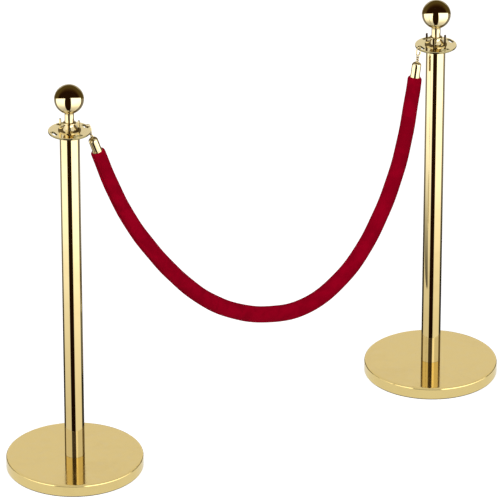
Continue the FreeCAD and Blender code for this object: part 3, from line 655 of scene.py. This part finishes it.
POST_BRASS = brass_finish(
    "polished_brass", low=colour(0.86, 0.68, 0.31), high=colour(0.92, 0.79, 0.47), clean=0.025, marked=0.10,
    lines=900.0, line_depth=0.12, dust=0.10, deepen=0.25)
BASE_BRASS = brass_finish(
    "buffed_brass", **LEVEL_GOLD, clean=0.07, marked=0.16, lines=650.0, line_depth=0.16, dust=0.12,
    deepen=0.22, reflection_paling=0.85)
PLATE_BRASS = brass_finish(
    "plate_brass", **LEVEL_GOLD, clean=0.06, marked=0.14, lines=900.0, line_depth=0.14, dust=0.12,
    deepen=0.25, tarnish=0.85, reflection_paling=0.5)
print("finishes:", POST_BRASS.name, BASE_BRASS.name, PLATE_BRASS.name)

# %% [markdown]
# ## Hook brass
#
# The hook, its gate, the little rings and the caps are small plated castings. They are handled every day,
# so their plating is more marked, with fine scratches that run in all directions and darker patches.

# %% Finish: hook brass
def hook_brass_finish():
    material, tree, shader = new_finish("hook_brass", Metallic=1.0)
    marks = place_group(tree, HAND_MARKS, Size=90.0, Clean=0.05, Marked=0.22, Amount=0.8)
    grain = place_group(tree, CAST_GRAIN, Size=700.0, Pits=0.3)
    tint = mix_colour(tree, math_node(tree, "MULTIPLY", marks["Marks"], 0.45), colour(0.90, 0.76, 0.42),
                      colour(0.55, 0.38, 0.13))
    tree.links.new(tint, shader.inputs["Base Color"])
    tree.links.new(marks["Roughness"], shader.inputs["Roughness"])
    bump_into(tree, shader, grain["Height"], 0.06, 0.1 * MM)
    return material


HOOK_BRASS = hook_brass_finish()
print("finish:", HOOK_BRASS.name)

# %% [markdown]
# ## Plain and hidden finishes
#
# The weight is raw cast iron with rust in its pits, the floor ring is black rubber, and the bolts, plugs
# and studs are zinc-plated steel. The springs are bare steel wire, and the rope's core is pale foam. Hardly
# any of this shows, but a part that is taken apart on a bench should look right as well.

# %% Finishes: iron, rubber, zinc and spring steel
def grained_finish(name, low, high, rough_low, rough_high, size, depth, metallic, pits):
    """A grained skin: the low colour and the high roughness lie in its pits."""
    material, tree, shader = new_finish(name, Metallic=metallic)
    grain = place_group(tree, CAST_GRAIN, Size=size, Pits=pits)
    tree.links.new(mix_colour(tree, grain["Mask"], low, high), shader.inputs["Base Color"])
    tree.links.new(ramp(tree, grain["Mask"], 0.0, 1.0, rough_high, rough_low), shader.inputs["Roughness"])
    bump_into(tree, shader, grain["Height"], 0.5, depth)
    return material


CAST_IRON = grained_finish(
    "cast_iron", low=colour(0.16, 0.07, 0.03), high=colour(0.09, 0.09, 0.095), rough_low=0.45,
    rough_high=0.85, size=260.0, depth=0.5 * MM, metallic=0.7, pits=0.5)
RUBBER = grained_finish(
    "rubber", low=colour(0.012, 0.012, 0.012), high=colour(0.028, 0.027, 0.026), rough_low=0.62,
    rough_high=0.85, size=800.0, depth=0.1 * MM, metallic=0.0, pits=0.2)
ZINC_STEEL = grained_finish(
    "zinc_steel", low=colour(0.42, 0.44, 0.47), high=colour(0.66, 0.67, 0.68), rough_low=0.22,
    rough_high=0.42, size=120.0, depth=0.03 * MM, metallic=1.0, pits=0.15)
SPRING_STEEL = grained_finish(
    "spring_steel", low=colour(0.32, 0.31, 0.30), high=colour(0.55, 0.54, 0.52), rough_low=0.18,
    rough_high=0.38, size=600.0, depth=0.02 * MM, metallic=1.0, pits=0.1)
CORE_FOAM = grained_finish(
    "core_foam", low=colour(0.55, 0.50, 0.38), high=colour(0.78, 0.73, 0.60), rough_low=0.85,
    rough_high=0.98, size=500.0, depth=0.4 * MM, metallic=0.0, pits=0.7)
print("finishes:", CAST_IRON.name, RUBBER.name, ZINC_STEEL.name, SPRING_STEEL.name, CORE_FOAM.name)

# %% [markdown]
# ## Dress the frame
#
# Every piece of the frame comes with the name of its material slot. The finish is chosen by that name, and
# the level brass pieces are picked out by their own names. Only the material slots are touched, never the
# meshes.

# %% Put a finish on every piece
BY_SLOT = {"polished_brass": POST_BRASS, "hook_brass": HOOK_BRASS, "red_velvet": VELVET,
           "core_fibre": CORE_FOAM, "cast_iron": CAST_IRON, "rubber": RUBBER, "zinc_steel": ZINC_STEEL,
           "spring_steel": SPRING_STEEL}
LEVEL_PIECES = {"base_cover": BASE_BRASS, "hook_plate": PLATE_BRASS}

for name, piece in nodes.items():
    for slot in piece.material_slots:
        kind = slot.material.name.split(".")[0]
        slot.material = LEVEL_PIECES.get(name.split("_", 1)[1], BY_SLOT[kind])
print("finished pieces:", len(nodes))

# %% [markdown]
# ## What the brass sees
#
# A mirror shows its surroundings, so the studio around it is the larger part of its look. Polished posts
# stand between two tall white panels, one at each side of the camera, with the dark studio left open
# between them and above them. A tube then shows two pale bands with a dark line in the middle and a dark
# line at each edge, and a ball shows two bright windows under a dark cap. A dimmer wall far behind keeps
# the backs of the posts golden.
#
# The panels could be real planes, but the posts stand on an open white floor, and planes would stand on it
# too. They are drawn into the world instead, for gloss rays alone. The camera and the soft surfaces see
# plain white. The places of the panels are directions in the room and don't turn with the camera.

# %% World: white room with panels for the brass
PANEL_LEFT = (math.radians(-113), math.radians(-31))
PANEL_RIGHT = (math.radians(17.5), math.radians(104))
PANEL_EDGE = math.radians(2.0)
PANEL_LEFT_TOP = 0.04
PANEL_RIGHT_TOP = 0.11
TOP_EDGE = 0.03
PANEL_LEFT_LIGHT = 1.85
PANEL_RIGHT_LIGHT = 2.2
LIGHT_AT_THE_FLOOR = 0.42
LIGHT_WHEN_MIRRORED_TWICE = 0.22

BACK_STARTS = math.radians(140)
BACK_TOP = 0.05
DIM_BACK_LIGHT = 0.22
FAR_BACK_LIGHT = 0.6
WALL_FOOT = -0.35
WALL_TOP = 0.28
WALL_LIGHT = 0.4

DARK_STUDIO = colour(1.0, 0.36, 0.10)
DARK_STUDIO_LIGHT = 0.018
DARK_CEILING = colour(1.0, 0.68, 0.20)
DARK_CEILING_LIGHT = 0.085

PALE_STUDIO = colour(1.0, 0.985, 0.95)
WHITE = colour(1, 1, 1)
SOFT_LIGHT = 0.5
BACKDROP_LIGHT = 1.1


def band(tree, turn, start, stop):
    """1 between two angles and 0 outside them, with soft edges."""
    rise = ramp(tree, turn, start - PANEL_EDGE, start + PANEL_EDGE)
    fall = ramp(tree, turn, stop - PANEL_EDGE, stop + PANEL_EDGE, 1.0, 0.0)
    return math_node(tree, "MULTIPLY", rise, fall)


def share_along(tree, vector, axis):
    """How much of a vector lies along a fixed direction in the room."""
    return node(tree, "ShaderNodeVectorMath", {0: vector, 1: tuple(axis)},
                operation="DOT_PRODUCT").outputs["Value"]


def make_world():
    world = bpy.data.worlds.new("studio")
    world.use_nodes = True
    tree = world.node_tree
    tree.nodes.clear()
    out = node(tree, "ShaderNodeOutputWorld")
    ray = node(tree, "ShaderNodeTexCoord").outputs["Generated"]

    def along(axis):
        return share_along(tree, ray, axis)

    turn = math_node(tree, "ARCTAN2", along(camera_right), along(to_camera_flat))
    lift = along(camera_up)
    height = node(tree, "ShaderNodeSeparateXYZ", {0: ray}).outputs[2]

    def panel(sides, top, brightness):
        below = ramp(tree, lift, top - TOP_EDGE, top + TOP_EDGE, brightness, 0.0)
        return math_node(tree, "MULTIPLY", band(tree, turn, *sides), below)

    # The right panel is a little taller and brighter. Both fade towards the floor and when mirrored twice.
    rays = node(tree, "ShaderNodeLightPath").outputs
    low_fade = ramp(tree, height, -0.95, 0.05, LIGHT_AT_THE_FLOOR, 1.0)
    second_fade = ramp(tree, rays["Glossy Depth"], 1.0, 2.0, 1.0, LIGHT_WHEN_MIRRORED_TWICE, smooth=False)
    fade = math_node(tree, "MULTIPLY", low_fade, second_fade)
    both = math_node(tree, "ADD", panel(PANEL_LEFT, PANEL_LEFT_TOP, PANEL_LEFT_LIGHT),
                     panel(PANEL_RIGHT, PANEL_RIGHT_TOP, PANEL_RIGHT_LIGHT))
    panels = math_node(tree, "MULTIPLY", both, fade)

    # Behind the goods the studio is dim next to the panels and pale far back, with a wall at eye height.
    turned = math_node(tree, "ABSOLUTE", turn)
    dim = ramp(tree, turned, PANEL_RIGHT[1], PANEL_RIGHT[1] + 0.2, 0.0, DIM_BACK_LIGHT)
    far_back = ramp(tree, turned, BACK_STARTS, math.pi, 0.0, FAR_BACK_LIGHT)
    low_back = math_node(tree, "MULTIPLY", math_node(tree, "ADD", dim, far_back),
                         ramp(tree, lift, BACK_TOP - TOP_EDGE, BACK_TOP + TOP_EDGE, 1.0, 0.0))
    wall_height = math_node(tree, "MULTIPLY", ramp(tree, height, WALL_FOOT - TOP_EDGE, WALL_FOOT + TOP_EDGE),
                            ramp(tree, height, WALL_TOP - 0.04, WALL_TOP + 0.04, 1.0, 0.0))
    wall_light = ramp(tree, turned, BACK_STARTS, BACK_STARTS + 0.4, 0.0, WALL_LIGHT)
    wall = math_node(tree, "MULTIPLY", wall_light, wall_height)
    pale_part = math_node(tree, "ADD", panels, math_node(tree, "MAXIMUM", low_back, wall))

    # Above the panels and between them lies the brown dark of the studio, lighter overhead and behind.
    overhead = ramp(tree, math_node(tree, "ARCTAN2", lift, along(to_camera)), 0.9, 1.9)
    dark_part = ramp(tree, overhead, 0.0, 1.0, DARK_STUDIO_LIGHT, DARK_CEILING_LIGHT, smooth=False)
    dark_colour = mix_colour(tree, overhead, DARK_STUDIO, DARK_CEILING)

    pale_light = node(tree, "ShaderNodeBackground", {"Color": PALE_STUDIO, "Strength": pale_part})
    dark_light = node(tree, "ShaderNodeBackground", {"Color": dark_colour, "Strength": dark_part})
    gloss = node(tree, "ShaderNodeAddShader", {0: pale_light.outputs[0], 1: dark_light.outputs[0]})
    soft = node(tree, "ShaderNodeBackground", {"Color": WHITE, "Strength": SOFT_LIGHT})
    backdrop = node(tree, "ShaderNodeBackground", {"Color": WHITE, "Strength": BACKDROP_LIGHT})
    soft_or_gloss = node(tree, "ShaderNodeMixShader", {0: rays["Is Glossy Ray"], 1: soft.outputs[0],
                                                       2: gloss.outputs[0]})
    everything = node(tree, "ShaderNodeMixShader", {0: rays["Is Camera Ray"], 1: soft_or_gloss.outputs[0],
                                                    2: backdrop.outputs[0]})
    tree.links.new(everything.outputs[0], out.inputs["Surface"])
    scene.world = world
    return world


print("world:", make_world().name)

# %% [markdown]
# ## Cards over the set
#
# The top of a base is a level mirror: from the camera it shows the far ceiling, which is dark, so a white
# card hangs over such a piece. Here the cards are wide area lights with light linking, which means that
# each one is seen only by the pieces named with it. One serves the level bases and plates, one the flared
# bells and the caps, and one the tubes as the bases mirror them.
#
# The foot of a tube mirrors the base, and the base mirrors the card. That card has to carry on the pale and
# dark bands of the panels, or the tube's lines would stop above the base. A base that is seen directly
# should show a plain card all the same. The card tells the two apart by how many gloss bounces the ray has
# made.

# %% Hang the cards and the key light
CARD_HEIGHT = 4.0
CARD_SIDE = 60.0
CARD_GAP_LIGHT = 0.05
KEY_DISTANCE = 5
KEY_LIFT = 0.35
KEY_SIDE = 2.6
KEY_LIGHT = 6.0


def area_light(name, at, facing, size, brightness, only_for=None):
    """A square area light whose face has that brightness, turned so that it shines along facing."""
    data = bpy.data.lights.new(name, "AREA")
    data.size = size
    data.energy = brightness * size * size * math.pi
    lamp = bpy.data.objects.new(name, data)
    scene.collection.objects.link(lamp)
    lamp.location = at
    lamp.rotation_mode = "QUATERNION"
    lamp.rotation_quaternion = Vector(facing).to_track_quat("-Z", "Y")
    lamp.visible_camera = False
    if only_for:
        lamp.light_linking.receiver_collection = only_for
    else:
        lamp.visible_glossy = False
    return lamp


def band_card(data, first_bounce):
    """Gives a card the bands of the side panels from that gloss bounce on, and leaves it plain before it."""
    data.use_nodes = True
    tree = data.node_tree
    place = node(tree, "ShaderNodeNewGeometry").outputs["Position"]
    turn = math_node(tree, "ARCTAN2", share_along(tree, place, camera_right),
                     share_along(tree, place, to_camera_flat))
    bands = math_node(tree, "ADD", band(tree, turn, *PANEL_LEFT), band(tree, turn, *PANEL_RIGHT))
    bands = ramp(tree, bands, 0.0, 1.0, CARD_GAP_LIGHT, 1.0, smooth=False)
    depth = node(tree, "ShaderNodeLightPath").outputs["Glossy Depth"]
    late = math_node(tree, "GREATER_THAN", depth, first_bounce - 0.5)
    plain = math_node(tree, "SUBTRACT", 1.0, late)
    strength = math_node(tree, "ADD", plain, math_node(tree, "MULTIPLY", late, bands))
    emission = next(n for n in tree.nodes if n.type == "EMISSION")
    tree.links.new(strength, emission.inputs["Strength"])


def card_over(name, endings, brightness, banded_from):
    """A white card high over the set that only the pieces with those name endings see."""
    receivers = bpy.data.collections.new(name + "_pieces")
    for piece_name, piece in nodes.items():
        if piece_name.endswith(endings):
            receivers.objects.link(piece)
    lamp = area_light(name, (0, 0, CARD_HEIGHT), (0, 0, -1), CARD_SIDE, brightness, receivers)
    band_card(lamp.data, banded_from)


card_over("level_card", tuple(LEVEL_PIECES), brightness=0.69, banded_from=2)
card_over("flared_card", ("finial_bell", "rope_cap"), brightness=0.85, banded_from=1)
card_over("tube_card", ("tube",), brightness=0.75, banded_from=1)
key_place = LOOK_AT + (to_camera + KEY_LIFT * camera_up) * KEY_DISTANCE
area_light("key_light", tuple(key_place), tuple(-to_camera), KEY_SIDE, KEY_LIGHT)

# %% [markdown]
# ## The floor
#
# The floor is one wide, matt white plane. Some light of its own keeps it as pale as the white room behind
# it, so that no horizon shows, while the bases still leave a soft shadow where they stand.
#
# A mirror close to a white floor sees it, and one further away sees across it to the panels. So for gloss
# rays the floor is white where the ray was short, as from the side of a base, and where it was long it lets
# only part of the panels through, a painted shade in the reflections. The painted shade lifts as the ray
# grows longer, which is why the tubes deepen towards the floor.

# %% Lay the floor
FLOOR_HALF_SIDE = 40
FLOOR_OWN_LIGHT = 0.58
FLOOR_MIRRORED_LIGHT = 0.80
WHITE_UP_TO = 0.10
REFLECTION_SHADE_FROM = 0.16
REFLECTION_SHADE_IN_FRONT = {"low": 0.2, "high": 2.1, "to_low": 0.57, "to_high": 1.05}
REFLECTION_SHADE_BEHIND = {"low": 0.5, "high": 1.7, "to_low": 0.1, "to_high": 1.0}


def reflection_shade_colour(tree, ray_length):
    """How much of the panels the floor lets through, a painted shade in reflections: least for a short ray,
    and less still behind a post.
    """
    place = node(tree, "ShaderNodeNewGeometry").outputs["Position"]
    split = node(tree, "ShaderNodeSeparateXYZ", {0: place}).outputs
    nearer_post = math_node(tree, "MULTIPLY", math_node(tree, "SIGN", split[0]), post_x)
    from_post = node(tree, "ShaderNodeCombineXYZ", {0: math_node(tree, "SUBTRACT", split[0], nearer_post),
                                                    1: split[1], 2: 0.0}).outputs[0]
    distance = node(tree, "ShaderNodeVectorMath", {0: from_post}, operation="LENGTH").outputs["Value"]
    towards = share_along(tree, from_post, to_camera_flat)
    behind = ramp(tree, math_node(tree, "DIVIDE", towards, distance), -0.5, -0.2, 1.0, 0.0)
    in_front = ramp(tree, ray_length, **REFLECTION_SHADE_IN_FRONT)
    at_back = ramp(tree, ray_length, **REFLECTION_SHADE_BEHIND)
    share = math_node(tree, "ADD", math_node(tree, "MULTIPLY", behind, at_back),
                      math_node(tree, "MULTIPLY", math_node(tree, "SUBTRACT", 1.0, behind), in_front))
    return node(tree, "ShaderNodeCombineColor", {0: share, 1: share, 2: share}).outputs[0]


def floor_finish():
    material, tree, shader = new_finish("floor_white", Roughness=0.9, Specular_IOR_Level=0.0)
    shader.inputs["Base Color"].default_value = colour(0.86, 0.86, 0.86)
    shader.inputs["Emission Color"].default_value = WHITE
    rays = node(tree, "ShaderNodeLightPath").outputs
    own_light = math_node(tree, "MULTIPLY", rays["Is Camera Ray"], FLOOR_OWN_LIGHT)
    tree.links.new(own_light, shader.inputs["Emission Strength"])
    white = node(tree, "ShaderNodeEmission", {"Color": WHITE, "Strength": FLOOR_MIRRORED_LIGHT})
    # For gloss rays the floor lets only part of the panels through: a painted shade in the reflections.
    shaded_pass = node(tree, "ShaderNodeBsdfTransparent", {"Color": reflection_shade_colour(tree, rays["Ray Length"])})
    far = ramp(tree, rays["Ray Length"], WHITE_UP_TO, REFLECTION_SHADE_FROM)
    mirrored = node(tree, "ShaderNodeMixShader", {0: far, 1: white.outputs[0], 2: shaded_pass.outputs[0]})
    seen = node(tree, "ShaderNodeMixShader", {0: rays["Is Glossy Ray"], 1: shader.outputs[0],
                                              2: mirrored.outputs[0]})
    out = next(n for n in tree.nodes if n.type == "OUTPUT_MATERIAL")
    tree.links.new(seen.outputs[0], out.inputs["Surface"])
    return material


def lay_floor(half_side):
    corners = [(x * half_side, y * half_side, 0) for x, y in ((-1, -1), (1, -1), (1, 1), (-1, 1))]
    mesh = bpy.data.meshes.new("floor")
    mesh.from_pydata(corners, [], [(0, 1, 2, 3)])
    mesh.materials.append(floor_finish())
    floor = bpy.data.objects.new("floor", mesh)
    scene.collection.objects.link(floor)
    return floor


floor = lay_floor(FLOOR_HALF_SIDE)
print("floor:", floor.name)
